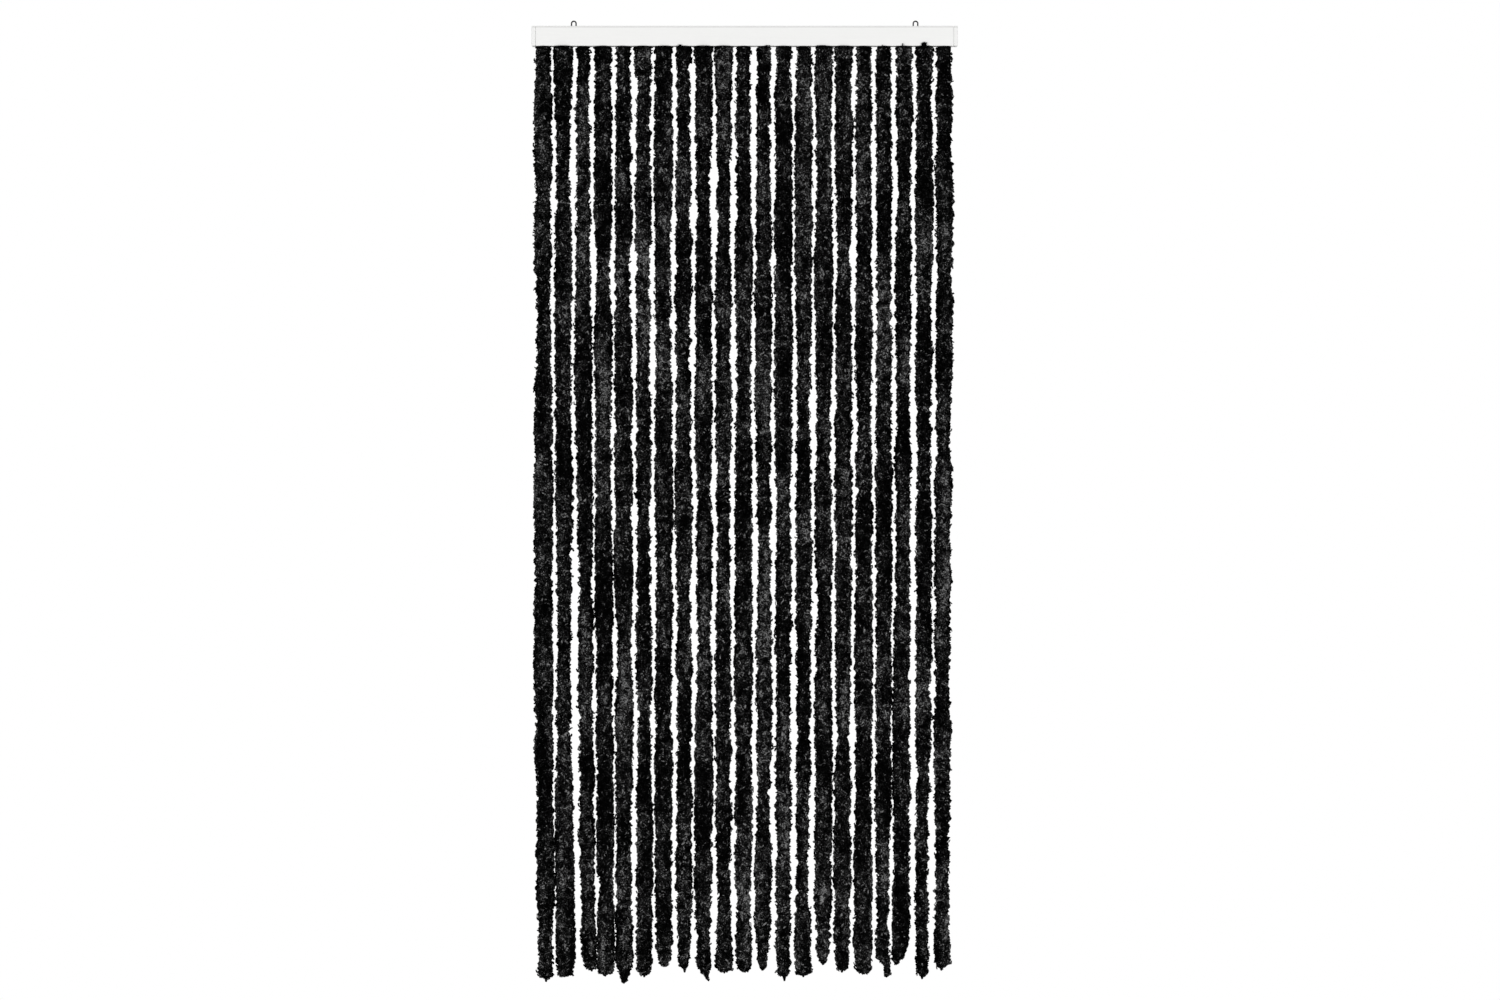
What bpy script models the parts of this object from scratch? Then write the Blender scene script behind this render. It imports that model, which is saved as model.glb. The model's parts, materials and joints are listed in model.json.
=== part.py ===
"""Chenille fly curtain for a doorway.

A white C-shaped head rail hangs from two wall hooks by two wire eyes. Small hangers ride in
its channel, and a fluffy chenille strand swings from the eye of each one.

Metres, +Z up. X runs along the rail and the front faces -Y. The origin lies midway between
the two hanging eyes, at the height where the wall hooks bear on them.
"""

import math

import bmesh
import bpy

# Fits that several pieces share
FIT_GAP = 0.0003  # between two pieces that rest on or in each other
CUT_OVERRUN = 0.002  # how far a cutter passes the face that it cuts

# Head rail, an extrusion that is open along its underside
RAIL_LENGTH = 0.900  # over the end caps
RAIL_HEIGHT = 0.042
RAIL_DEPTH = 0.030
RAIL_WALL = 0.0014
RAIL_CORNER = 0.002  # radius of the outer corners, and of the end caps' edges
RAIL_SLOT = 0.010  # the way out between the two lips

# End caps
CAP_BAND = 0.009  # the band that shows at each end
CAP_SPIGOT = 0.0045  # the block that plugs the channel

# Hanging eyes, bent from wire and clenched under the rail's top wall
EYE_INSET = 0.089  # from the rail's end to the eye's middle
EYE_WIRE = 0.0030
EYE_WIDTH = 0.0066  # clear width between the legs
EYE_RISE = 0.0098  # clear height over the rail
EYE_FOOT = 0.006  # straight part of each clenched foot

# Hangers
HEAD_LENGTH = 0.012  # along the rail
HEAD_THICKNESS = 0.003
HEAD_SIDE_GAP = 0.0004  # to the rail's walls
HEAD_END_GAP = 0.0012  # between the first hanger and the cap's spigot
TONGUE_THICKNESS = 0.0024
TONGUE_SIDE_GAP = 0.0005  # to the lips, and to the two sides of the strand's slot
CORE_DIAMETER = 0.003  # the strand's core cord, where it passes through the tongue
CORE_GAP = 0.0004  # round the core in the tongue's hole
CORE_HOLD = 0.003  # how far the core runs into each side of the strand's top

# Strands
STRAND_DIAMETER = 0.0334  # the pile's usual outside
STRAND_GAP = 0.0090  # between the usual outsides of two neighbours
STRAND_DROP = 1.981  # from the rail's underside to the tip of the longest strand
STRAND_TOP_GAP = 0.0005  # between the rail's underside and the pile
TOP_LENGTH = 0.060  # the even stretch under the rail
NUB_DIAMETER = 0.0052  # the sealed end of the core, which stands out of the pile
NUB_LENGTH = 0.006
BLUNT_END = 0.014  # length over which the bluntest end rounds off
LONG_END = 0.050  # what the most pointed end tapers over beyond that
RING_SPACING = 0.083  # between the rings of a strand's tube
SWELL_WAVES = (0.470, 0.290, 0.197)  # wavelengths of the pile's thick and thin stretches
SWAY_WAVES = (1.310, 0.640)  # wavelengths of the centreline's slow wander

SWELL_SHARES = (0.06, 0.05, 0.03)  # of the gap, one for each wave
THIN_SHARES = (0.05, 0.05, 0.03)  # of the radius, one for each wave
SWAY_SHARES = (0.035, 0.020)  # of the gap, one for each wave
TOP_RADIUS_SHARE = 0.95  # of the usual radius, where the rail's underside presses the pile
END_RADIUS_SHARE = 0.42  # of the usual radius, where the pile stops round the nub

# One entry a strand, from the left, read off the photograph's lower edge
DROP_SHARES = (
    0.998, 0.993, 0.987, 0.992, 1.000, 0.993, 0.982, 0.988, 0.997, 0.989, 0.988,
    0.986, 0.997, 0.993, 0.980, 0.988, 0.990, 0.993, 0.980, 0.995, 0.986,
)
LEAN_SHARES = (
    0.94, 0.82, 1.29, 0.82, 0.35, 0.24, 0.82, 0.94, 1.06, 0.59, 0.59,
    0.12, 0.70, 0.35, -0.12, 0.00, 0.24, 0.35, -0.12, -0.59, -0.59,
)
POINT_SHARES = (
    0.15, 0.20, 0.55, 0.25, 1.00, 0.15, 1.00, 0.25, 0.80, 0.20, 0.20,
    0.90, 0.25, 0.25, 0.55, 0.25, 0.25, 0.70, 0.60, 0.15, 0.25,
)
LEAN_POWER = 1.5  # the lean grows towards the lower end

# Facets
ROUND_SIDES = 12  # small holes and the core
HEAD_SIDES = 24  # the strand's rounded top
CORNER_STEPS = 5  # along a rail corner
BEND_STEPS = 3  # along a foot's bend
ARCH_STEPS = 12  # along the eye's arch
TONGUE_STEPS = 10  # along the tongue's round end
END_RINGS = 4  # where a strand's end rounds off
TUBE_RESOLUTION = 2  # eight sides

# Places that follow from the sizes
RAIL_TOP = -EYE_RISE
RAIL_BOTTOM = RAIL_TOP - RAIL_HEIGHT
PROFILE_LENGTH = RAIL_LENGTH - 2 * CAP_BAND - 2 * FIT_GAP
STRAND_RADIUS = STRAND_DIAMETER / 2
STRAND_PITCH = STRAND_DIAMETER + STRAND_GAP
PIVOT_Z = RAIL_BOTTOM - STRAND_TOP_GAP - STRAND_RADIUS
FIRST_INSET = CAP_BAND + CAP_SPIGOT + HEAD_END_GAP + HEAD_LENGTH / 2
STRAND_COUNT = int((RAIL_LENGTH - 2 * FIRST_INSET) / STRAND_PITCH) + 1
TONGUE_WIDTH = RAIL_SLOT - 2 * TONGUE_SIDE_GAP
STRAND_SLOT = TONGUE_THICKNESS + 2 * TONGUE_SIDE_GAP


def clear_scene():
    for obj in list(bpy.data.objects):
        bpy.data.objects.remove(obj)


def collection(name):
    made = bpy.data.collections.new(name)
    bpy.context.scene.collection.children.link(made)
    return made


def finish(name, colour, roughness, metallic=0.0):
    """A plain Principled material."""
    made = bpy.data.materials.new(name)
    made.use_nodes = True
    shader = made.node_tree.nodes["Principled BSDF"]
    shader.inputs["Base Color"].default_value = (*colour, 1.0)
    shader.inputs["Roughness"].default_value = roughness
    shader.inputs["Metallic"].default_value = metallic
    return made


def place(obj, home, material=None):
    """Links an object into one collection only, with its material."""
    for other in list(obj.users_collection):
        other.objects.unlink(obj)
    home.objects.link(obj)
    if material:
        obj.data.materials.clear()
        obj.data.materials.append(material)
    return obj


def as_cutter(obj):
    """A cutter or a joined-in shape stays out of the render."""
    obj.hide_render = True
    obj.display_type = "WIRE"
    return place(obj, CUTTERS)


def world_mesh(obj):
    """The mesh that the modifiers or the curve make, in world space, with its caps welded."""
    bpy.context.view_layer.update()
    graph = bpy.context.evaluated_depsgraph_get()
    mesh = bpy.data.meshes.new_from_object(obj.evaluated_get(graph))
    mesh.transform(obj.matrix_world)
    work = bmesh.new()
    work.from_mesh(mesh)
    bmesh.ops.remove_doubles(work, verts=work.verts, dist=FIT_GAP / 100)
    work.to_mesh(mesh)
    work.free()
    return mesh


def made_mesh(obj):
    """Turns a curve, or an object with modifiers, into a plain mesh object in the same place."""
    name, mesh = obj.name, world_mesh(obj)
    bpy.data.objects.remove(obj)
    plain = bpy.data.objects.new(name, mesh)
    bpy.context.scene.collection.objects.link(plain)
    return plain


def boolean(obj, other, operation):
    modifier = obj.modifiers.new(other.name, "BOOLEAN")
    modifier.operation = operation
    modifier.solver = "EXACT"
    modifier.object = other


def box(name, size, centre):
    """A box of that size in X, Y and Z, its scale applied."""
    bpy.ops.mesh.primitive_cube_add(size=1, location=centre)
    obj = bpy.context.object
    obj.name = name
    obj.scale = size
    bpy.ops.object.transform_apply(location=False, rotation=False, scale=True)
    return obj


def cylinder(name, radius, length, centre, along_x=False, sides=ROUND_SIDES):
    """An upright cylinder, or one that lies along X."""
    turn = (0, math.pi / 2, 0) if along_x else (0, 0, 0)
    bpy.ops.mesh.primitive_cylinder_add(
        vertices=sides, radius=radius, depth=length, location=centre, rotation=turn
    )
    obj = bpy.context.object
    obj.name = name
    return obj


def arc(centre, radius, start, end, steps):
    """Points on an arc from one angle to another, in degrees."""
    angles = [math.radians(start + (end - start) * n / steps) for n in range(steps + 1)]
    return [(centre[0] + radius * math.cos(a), centre[1] + radius * math.sin(a)) for a in angles]


def flat_solid(name, outlines, thickness):
    """A flat outline in the YZ plane, with any holes, thickened along X about x = 0."""
    data = bpy.data.curves.new(name, "CURVE")
    data.dimensions = "2D"
    data.fill_mode = "BOTH"
    data.extrude = thickness / 2
    for outline in outlines:
        spline = data.splines.new("POLY")
        spline.points.add(len(outline) - 1)
        for point, (across, up) in zip(spline.points, outline):
            point.co = (across, up, 0, 1)
        spline.use_cyclic_u = True
    obj = bpy.data.objects.new(name, data)
    obj.rotation_euler = (math.pi / 2, 0, math.pi / 2)
    bpy.context.scene.collection.objects.link(obj)
    return made_mesh(obj)


def tube(name, path, radii, depth):
    """A round tube along a path, as thick at each point as radii says."""
    data = bpy.data.curves.new(name, "CURVE")
    data.dimensions = "3D"
    data.twist_mode = "MINIMUM"
    data.bevel_depth = depth
    data.bevel_resolution = TUBE_RESOLUTION
    data.use_fill_caps = True
    spline = data.splines.new("POLY")
    spline.points.add(len(path) - 1)
    for point, place_on_path, radius in zip(spline.points, path, radii):
        point.co = (*place_on_path, 1)
        point.radius = radius / depth
    obj = bpy.data.objects.new(name, data)
    bpy.context.scene.collection.objects.link(obj)
    return obj


def shade(obj, angle=40):
    obj.data.shade_smooth()
    obj.data.set_sharp_from_angle(angle=math.radians(angle))


def eye_leg_offset():
    """From an eye's middle to the centreline of each leg."""
    return (EYE_WIDTH + EYE_WIRE) / 2


def eye_places():
    reach = RAIL_LENGTH / 2 - EYE_INSET
    return {"left": -reach, "right": reach}


def head_rail():
    """The C-shaped extrusion, with two holes for the legs of each eye."""
    outer = RAIL_DEPTH / 2 - RAIL_CORNER
    inner = RAIL_DEPTH / 2 - RAIL_WALL
    lip = RAIL_SLOT / 2
    low, high = RAIL_BOTTOM + RAIL_CORNER, RAIL_TOP - RAIL_CORNER
    floor, ceiling = RAIL_BOTTOM + RAIL_WALL, RAIL_TOP - RAIL_WALL
    outline = [(lip, RAIL_BOTTOM)]
    outline += arc((outer, low), RAIL_CORNER, -90, 0, CORNER_STEPS)
    outline += arc((outer, high), RAIL_CORNER, 0, 90, CORNER_STEPS)
    outline += arc((-outer, high), RAIL_CORNER, 90, 180, CORNER_STEPS)
    outline += arc((-outer, low), RAIL_CORNER, 180, 270, CORNER_STEPS)
    outline += [(-lip, RAIL_BOTTOM), (-lip, floor), (-inner, floor)]
    outline += [(-inner, ceiling), (inner, ceiling), (inner, floor), (lip, floor)]
    rail = flat_solid("head_rail", [outline], PROFILE_LENGTH)
    hole_radius = EYE_WIRE / 2 + FIT_GAP
    for side, middle in eye_places().items():
        for end, offset in (("a", -eye_leg_offset()), ("b", eye_leg_offset())):
            hole = cylinder(
                f"eye_hole_{side}_{end}",
                hole_radius,
                RAIL_WALL + 2 * CUT_OVERRUN,
                (middle + offset, 0, RAIL_TOP - RAIL_WALL / 2),
            )
            boolean(rail, as_cutter(hole), "DIFFERENCE")
    place(rail, PARTS, WHITE_METAL)
    shade(rail)


def end_cap(side, sign):
    """A band as deep and high as the rail, with a block that plugs the channel."""
    band = box(
        f"end_cap_{side}",
        (CAP_BAND, RAIL_DEPTH, RAIL_HEIGHT),
        (sign * (RAIL_LENGTH / 2 - CAP_BAND / 2), 0, (RAIL_TOP + RAIL_BOTTOM) / 2),
    )
    edges = band.modifiers.new("rounded_edges", "BEVEL")
    edges.width = RAIL_CORNER
    edges.segments = CORNER_STEPS
    reach = CAP_SPIGOT + CAP_BAND / 2
    inner_depth = RAIL_DEPTH - 2 * (RAIL_WALL + FIT_GAP)
    inner_height = RAIL_HEIGHT - 2 * (RAIL_WALL + FIT_GAP)
    spigot = box(
        f"cap_spigot_{side}",
        (reach, inner_depth, inner_height),
        (
            sign * (RAIL_LENGTH / 2 - CAP_BAND / 2 - reach / 2),
            0,
            (RAIL_TOP + RAIL_BOTTOM) / 2,
        ),
    )
    boolean(band, as_cutter(spigot), "UNION")
    place(band, PARTS, WHITE_PLASTIC)
    shade(band)


def hanging_eye(side, middle):
    """A wire arch. Its legs go down through the rail's top wall and its feet turn outwards."""
    radius = eye_leg_offset()
    bend = EYE_WIRE / 2 + FIT_GAP
    arch_centre = (middle, EYE_WIRE / 2 - radius)
    wall_under = RAIL_TOP - RAIL_WALL
    left = [(middle - radius - bend - EYE_FOOT, wall_under - bend)]
    left += arc((middle - radius - bend, wall_under), bend, -90, 0, BEND_STEPS)
    right = arc((middle + radius + bend, wall_under), bend, 180, 270, BEND_STEPS)
    right += [(middle + radius + bend + EYE_FOOT, wall_under - bend)]
    outline = left + arc(arch_centre, radius, 180, 0, ARCH_STEPS) + right
    path = [(across, 0, up) for across, up in outline]
    wire = tube(f"hanging_eye_{side}", path, [EYE_WIRE / 2] * len(path), EYE_WIRE / 2)
    obj = place(made_mesh(wire), PARTS, DARK_WIRE)
    shade(obj, 60)


def hanger_mesh():
    """A T-shaped hanger, about its pivot: a head in the channel, and a tongue with an eye."""
    head_low = RAIL_BOTTOM + RAIL_WALL + FIT_GAP - PIVOT_Z
    half = TONGUE_WIDTH / 2
    outline = arc((0, 0), half, 180, 360, TONGUE_STEPS)
    outline += [(half, head_low + HEAD_THICKNESS / 2), (-half, head_low + HEAD_THICKNESS / 2)]
    hole = arc((0, 0), CORE_DIAMETER / 2 + CORE_GAP, 0, 360, ROUND_SIDES)[:-1]
    tongue = flat_solid("tongue", [outline, hole], TONGUE_THICKNESS)
    head_depth = RAIL_DEPTH - 2 * (RAIL_WALL + HEAD_SIDE_GAP)
    head = box(
        "hanger_head",
        (HEAD_LENGTH, head_depth, HEAD_THICKNESS),
        (0, 0, head_low + HEAD_THICKNESS / 2),
    )
    boolean(tongue, as_cutter(head), "UNION")
    mesh = world_mesh(tongue)
    bpy.data.objects.remove(tongue)
    bpy.data.objects.remove(head)
    return mesh


def swell(number, below):
    """How far the pile stands out from its usual outside, at that distance below the pivot."""
    out = 0
    for wave, more, less in zip(SWELL_WAVES, SWELL_SHARES, THIN_SHARES):
        turn = math.sin(2 * math.pi * below / wave + number * (1 + wave / SWELL_WAVES[0]))
        out += turn * (more * STRAND_GAP if turn > 0 else less * STRAND_RADIUS)
    return out * min(1, max(0, below / TOP_LENGTH - 1))


def wander(number, below, length):
    """How far the centreline has moved along the rail, at that distance below the pivot."""
    share = max(0, below / length)
    out = LEAN_SHARES[number % len(LEAN_SHARES)] * share**LEAN_POWER
    for wave, size in zip(SWAY_WAVES, SWAY_SHARES):
        out += size * share * math.sin(2 * math.pi * below / wave + number * wave / SWAY_WAVES[1])
    return out * STRAND_GAP


def strand_path(number):
    """The centreline of a strand about its pivot, and its radius at each point."""
    length = STRAND_DROP * DROP_SHARES[number % len(DROP_SHARES)] + PIVOT_Z - RAIL_BOTTOM
    end = BLUNT_END + LONG_END * POINT_SHARES[number % len(POINT_SHARES)]
    body = length - NUB_LENGTH - end
    steps = max(2, round((body - TOP_LENGTH) / RING_SPACING))
    rings = [(-STRAND_RADIUS - CUT_OVERRUN, STRAND_RADIUS * TOP_RADIUS_SHARE)]
    rings += [(0, STRAND_RADIUS * TOP_RADIUS_SHARE)]
    for n in range(steps + 1):
        below = TOP_LENGTH + (body - TOP_LENGTH) * n / steps
        rings.append((below, STRAND_RADIUS + swell(number, below)))
    last = rings[-1][1]
    least = STRAND_RADIUS * END_RADIUS_SHARE
    for n in range(1, END_RINGS + 1):
        share = n / END_RINGS
        rings.append((body + end * share, least + (last - least) * math.sqrt(1 - share**2)))
    rings.append((body + end + NUB_LENGTH / END_RINGS, NUB_DIAMETER / 2))
    rings.append((length, NUB_DIAMETER / 2))
    path = [(wander(number, below, length), 0, -below) for below, _ in rings]
    return path, [radius for _, radius in rings]


def strand_top_cutters():
    """What shapes a strand's top: the outside of its rounding, the slot, and the core cord."""
    wide = 2 * (STRAND_RADIUS + 2 * CUT_OVERRUN)
    high = STRAND_RADIUS + 2 * CUT_OVERRUN
    rounding = box("top_block", (wide, wide, high), (0, 0, high / 2))
    drum = cylinder(
        "top_drum", STRAND_RADIUS, wide + CUT_OVERRUN, (0, 0, 0), True, HEAD_SIDES
    )
    boolean(rounding, as_cutter(drum), "DIFFERENCE")
    rounding = as_cutter(made_mesh(rounding))
    slot_low = -(TONGUE_WIDTH / 2 + TONGUE_SIDE_GAP)
    slot = box(
        "top_slot", (STRAND_SLOT, wide, high - slot_low), (0, 0, (high + slot_low) / 2)
    )
    core = cylinder(
        "core_cord", CORE_DIAMETER / 2, STRAND_SLOT + 2 * CORE_HOLD, (0, 0, 0), True
    )
    return rounding, as_cutter(slot), as_cutter(core)


def strand(number, top_cutters):
    """A chenille strand whose top is forked round the hanger's tongue and pinned by its core."""
    path, radii = strand_path(number)
    blank = made_mesh(tube(f"strand_{number + 1:02d}", path, radii, STRAND_RADIUS))
    rounding, slot, core = top_cutters
    boolean(blank, rounding, "DIFFERENCE")
    boolean(blank, slot, "DIFFERENCE")
    boolean(blank, core, "UNION")
    obj = place(made_mesh(blank), PARTS, CHENILLE)
    shade(obj, 50)
    return obj


def build():
    head_rail()
    for side, sign in (("left", -1), ("right", 1)):
        end_cap(side, sign)
        hanging_eye(side, eye_places()[side])
    hanger = hanger_mesh()
    top_cutters = strand_top_cutters()
    for number in range(STRAND_COUNT):
        where = (-RAIL_LENGTH / 2 + FIRST_INSET + number * STRAND_PITCH, 0, PIVOT_Z)
        holder = bpy.data.objects.new(f"hanger_{number + 1:02d}", hanger)
        place(holder, PARTS, NYLON).location = where
        strand(number, top_cutters).location = where


clear_scene()
PARTS = collection("chenille_fly_curtain")
CUTTERS = collection("cutters")
WHITE_METAL = finish("white_painted_metal", (0.88, 0.88, 0.87), 0.35)
WHITE_PLASTIC = finish("white_plastic", (0.86, 0.86, 0.85), 0.45)
DARK_WIRE = finish("dark_zinc_wire", (0.16, 0.16, 0.17), 0.35, 1.0)
NYLON = finish("natural_nylon", (0.80, 0.79, 0.75), 0.5)
CHENILLE = finish("black_chenille", (0.012, 0.012, 0.013), 0.95)
build()
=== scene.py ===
"""Looks of a chenille fly curtain for a doorway.

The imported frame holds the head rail, its end caps, the wire eyes, the hangers and a plain solid
for each strand. This script gives the hard parts their finishes, and puts a pile of curled locks
in the place of each plain strand. Metres, +Z up, and the front faces -Y.
"""

import json
import math

import bpy
import numpy as np
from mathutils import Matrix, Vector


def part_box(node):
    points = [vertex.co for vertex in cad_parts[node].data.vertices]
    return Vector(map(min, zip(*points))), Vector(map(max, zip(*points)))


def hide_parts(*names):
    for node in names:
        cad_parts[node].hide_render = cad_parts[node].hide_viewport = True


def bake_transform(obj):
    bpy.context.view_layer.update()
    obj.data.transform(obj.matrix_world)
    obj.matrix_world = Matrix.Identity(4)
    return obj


bl_info = {
    "name": "Chenille Fly Curtain",
    "version": (1, 0, 0),
    "blender": (4, 5, 0),
    "location": "3D View > Sidebar > Curtain",
    "description": "Dresses a packed fly curtain: painted rail, wire eyes and chenille strands",
    "category": "Object",
}

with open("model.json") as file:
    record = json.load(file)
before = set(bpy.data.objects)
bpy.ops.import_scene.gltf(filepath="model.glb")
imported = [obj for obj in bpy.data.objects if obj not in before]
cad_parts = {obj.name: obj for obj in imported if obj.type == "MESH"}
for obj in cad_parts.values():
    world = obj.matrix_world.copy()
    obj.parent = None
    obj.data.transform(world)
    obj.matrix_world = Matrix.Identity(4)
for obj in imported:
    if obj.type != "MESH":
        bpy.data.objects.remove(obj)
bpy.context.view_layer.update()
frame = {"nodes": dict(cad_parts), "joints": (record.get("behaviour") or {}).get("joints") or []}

MM = 0.001
TURN = 2 * math.pi
STRAND_NODES = sorted(name for name in frame["nodes"] if name.startswith("strand_"))
HANGER_NODES = sorted(name for name in frame["nodes"] if name.startswith("hanger_"))
PIVOTS = {joint["child"]: joint["pos_m"] for joint in frame["joints"]}
RAIL_LOW, RAIL_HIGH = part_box("head_rail")

# Narrow and wide strands as shares of the usual width, from the left
WIDTH_SHARES = (
    1.05, 1.05, 0.95, 1.0, 1.0, 0.95, 1.05, 0.95, 1.0, 0.9, 1.05,
    0.95, 1.0, 0.95, 1.05, 1.0, 1.05, 0.95, 1.0, 0.95, 1.0,
)
# Strands, counted from 0, whose lower end lies across a neighbour, and how far to the right in
# millimetres
CROSSINGS = {2: 8, 18: -5}
# How far the lower end lies behind its hanger in millimetres, where neighbours cross
SET_BACKS = (0, 1, 3, -4, 3, 0, -1, 2, -2, 2, -1, 2, -2, 1, 0, -1, 1, -4, 3, -1, 1)
# The lower end in millimetres and shares: length of the taper, share of the width that is left,
# roundness of the taper (1 is straight), narrow tail below the taper, lean to the right, bare nub
ENDS = (
    (12, 0.94, 2.0, 0, 1, 8),
    (40, 0.62, 1.0, 0, -3, 1),
    (36, 0.60, 2.0, 0, 5, 4),
    (18, 0.74, 2.0, 0, 0, 4),
    (60, 0.16, 1.3, 0, -1, 2),
    (14, 0.80, 2.0, 0, 0, 4),
    (50, 0.30, 1.3, 0, 1, 1),
    (20, 0.64, 2.0, 0, 1, 8),
    (50, 0.12, 1.7, 0, 12, 1),
    (16, 0.76, 2.0, 0, 0, 3),
    (20, 0.70, 2.0, 0, 2, 2),
    (62, 0.34, 1.4, 0, -1, 1),
    (10, 0.92, 2.0, 0, 1, 9),
    (16, 0.76, 2.0, 0, 0, 3),
    (20, 0.12, 1.0, 0, 0, 1),
    (16, 0.80, 2.0, 0, 0, 4),
    (18, 0.74, 2.0, 0, 3, 2),
    (24, 0.56, 1.6, 27, 10, 1),
    (63, 0.28, 2.0, 0, -8, 1),
    (16, 0.74, 2.0, 0, 0, 8),
    (18, 0.72, 2.0, 0, -1, 5),
)

# Tufts that stand up in front of the rail's lower edge, by strand, counted from 0: height, place
# to the right of the hanger and spread in millimetres, and number of locks
CRESTS = {
    7: (3.4, -2, 2.2, 8),
    11: (1.8, 10, 2.5, 5),
    14: (1.8, -1, 5.0, 10),
    17: (3.0, 0, 0.5, 1),
    18: (7.5, 0, 0.4, 2),
    19: (9.0, 4, 2.8, 24),
}

# Cells of the noise in a strand. The patches and stretches are longer along it, and the necks,
# the drift, the swells and the wander change only along it.
LUMP_CELL = 20 * MM
TUFT_CELL = 8 * MM
CURL_CELL = 6 * MM
SWIRL_CELL = 11 * MM
CLUMP_CELL = 8 * MM
PATCH_CELL = np.array([18, 18, 50]) * MM
STRETCH_CELL = np.array([30, 30, 140]) * MM
NECK_CELL = 45 * MM
DRIFT_CELL = 90 * MM
SWELL_CELL = 160 * MM
WANDER_CELL = 350 * MM
NOISE_REACH_SHARE = 2.6  # of the strand's width, to each side of its middle

# The form of a strand
NECK_DEPTH = 2.2 * MM
DRIFT = 0.8 * MM
WANDER = 2.4 * MM  # at the lower end
LEAN_START = 10 * MM  # above the taper
TOP_FLARE_SHARE = 0.16  # of the width, under the rail
TOP_FLARE_LENGTH = 14 * MM
FLAT_TOP_SHARE = 0.25  # of the lumps and tufts, where the rail presses the pile
FLAT_TOP_LENGTH = 16 * MM
GAP_TOP_SHARE = 0.2  # of the least gap, under the rail
GAP_OPENING_LENGTH = 30 * MM
SIDE_KNEE_SHARE = 0.93  # of the room beside a strand, where its pile starts to be eased in
ROUGHNESS = 0.35 * MM  # of the skin

# Tones: the mean, what each noise adds, and the painted shadow under the rail
MEAN_TONE = 0.47
STRETCH_TONE = 0.24
PATCH_TONE = 0.26
CLUMP_TONE = 0.26
TOP_SHADE = 0.45
TOP_SHADE_LENGTH = 6 * MM

# The locks: angles in degrees, and shares of a lock's length, its width and its tone
GOLDEN_SHARE = 0.381966  # of a turn, from one lock to the next
LOCK_STARTS = (54, 74)  # from the outward way, where a lock leaves the skin
LOCK_BENDS = (18, 34)  # more at each of its points
UPRIGHT_SHARE = 0.06  # of the locks
UPRIGHT_TURN = math.radians(22)  # nearer to the outward way than the others
LOCK_PART_SHARES = np.array([0.0, 0.46, 0.44, 0.10])
LOCK_WIDTH_SHARES = np.array([0.85, 1.1, 0.95])
# Painted shade at a lock's root and painted highlight towards its tip, added to its tone
LOCK_SHADES = np.array([-0.15, 0.0, 0.05])
TIP_SHADE = 0.1
LOCK_TONE_SPREAD = 0.42
SLENDER_RADIUS = 11 * MM  # where the pile is thinner than this, its locks are smaller
SLENDER_LEAST_SHARE = 0.45
ROOT_SINK = 1 * MM  # of the locks under the skin

# The lamps in metres: their places, from the middle of the picture, and their size
LAMP_ASIDE = 3.6
LAMP_FORWARD = 3.4
LAMP_DROP = 0.1
LAMP_SIZE = (2.4, 2.6)


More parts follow.
